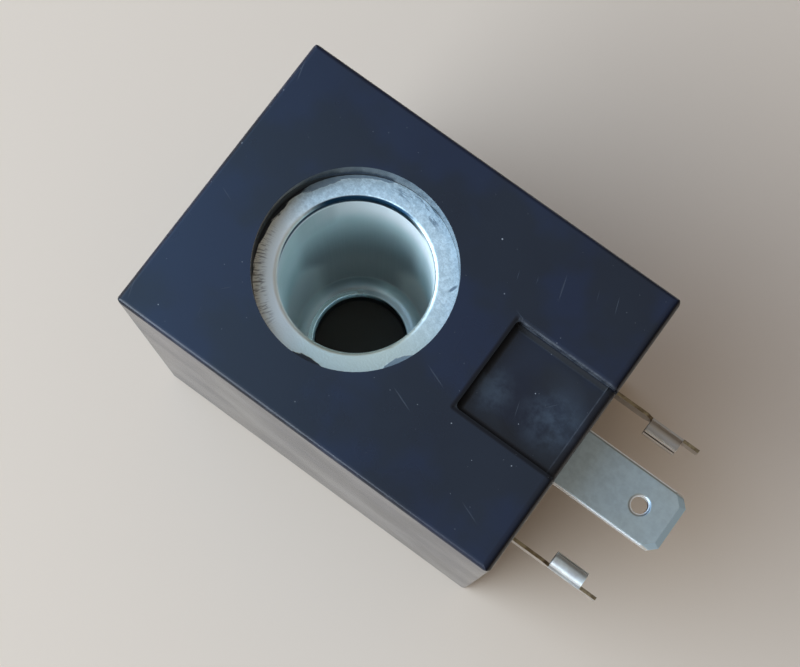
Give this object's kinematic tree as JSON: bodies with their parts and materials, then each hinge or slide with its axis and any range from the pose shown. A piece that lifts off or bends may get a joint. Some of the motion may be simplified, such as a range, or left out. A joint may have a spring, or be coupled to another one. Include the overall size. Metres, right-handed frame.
{
  "type": "solenoid valve coil",
  "caption": "Dark moulded block coil for a solenoid valve: a stepped metal-lined bore in a steel yoke, with rolled crimp terminals and a flat earth blade on one end.",
  "frame": {"origin": "on the bore axis, halfway between the valve face and the nut face", "axes": "+Z along the bore, out of its wide mouth on the valve side; +X towards the terminals"},
  "size_m": [0.0525, 0.0296, 0.041],
  "materials": {
    "moulding": "satin thermoset moulding, blue-black",
    "yoke_steel": "zinc-plated sheet",
    "liner_metal": "drawn and plated",
    "bobbin_plastic": "natural moulding",
    "copper": "enamelled copper wire",
    "tape": "polyester film",
    "tinned_brass": "tinned, bare at the cut edges",
    "plated_blade": "satin plated sheet",
    "rivet_brass": "plain",
    "carrier_plastic": "moulded",
    "sleeve": "varnished sleeving",
    "solder": "soft solder"
  },
  "bodies": {
    "root": {"encapsulation": "moulding", "yoke_bracket": "yoke_steel", "nut_side_plate": "yoke_steel", "bore_liner": "liner_metal", "bobbin": "bobbin_plastic", "winding": "copper", "winding_tape": "tape", "near_terminal": "tinned_brass", "far_terminal": "tinned_brass", "earth_blade": "plated_blade", "earth_rivet": "rivet_brass", "terminal_carrier": "carrier_plastic", "start_lead": "copper", "finish_lead": "copper", "start_sleeve": "sleeve", "finish_sleeve": "sleeve", "start_solder": "solder", "finish_solder": "solder"}
  },
  "joints": []
}
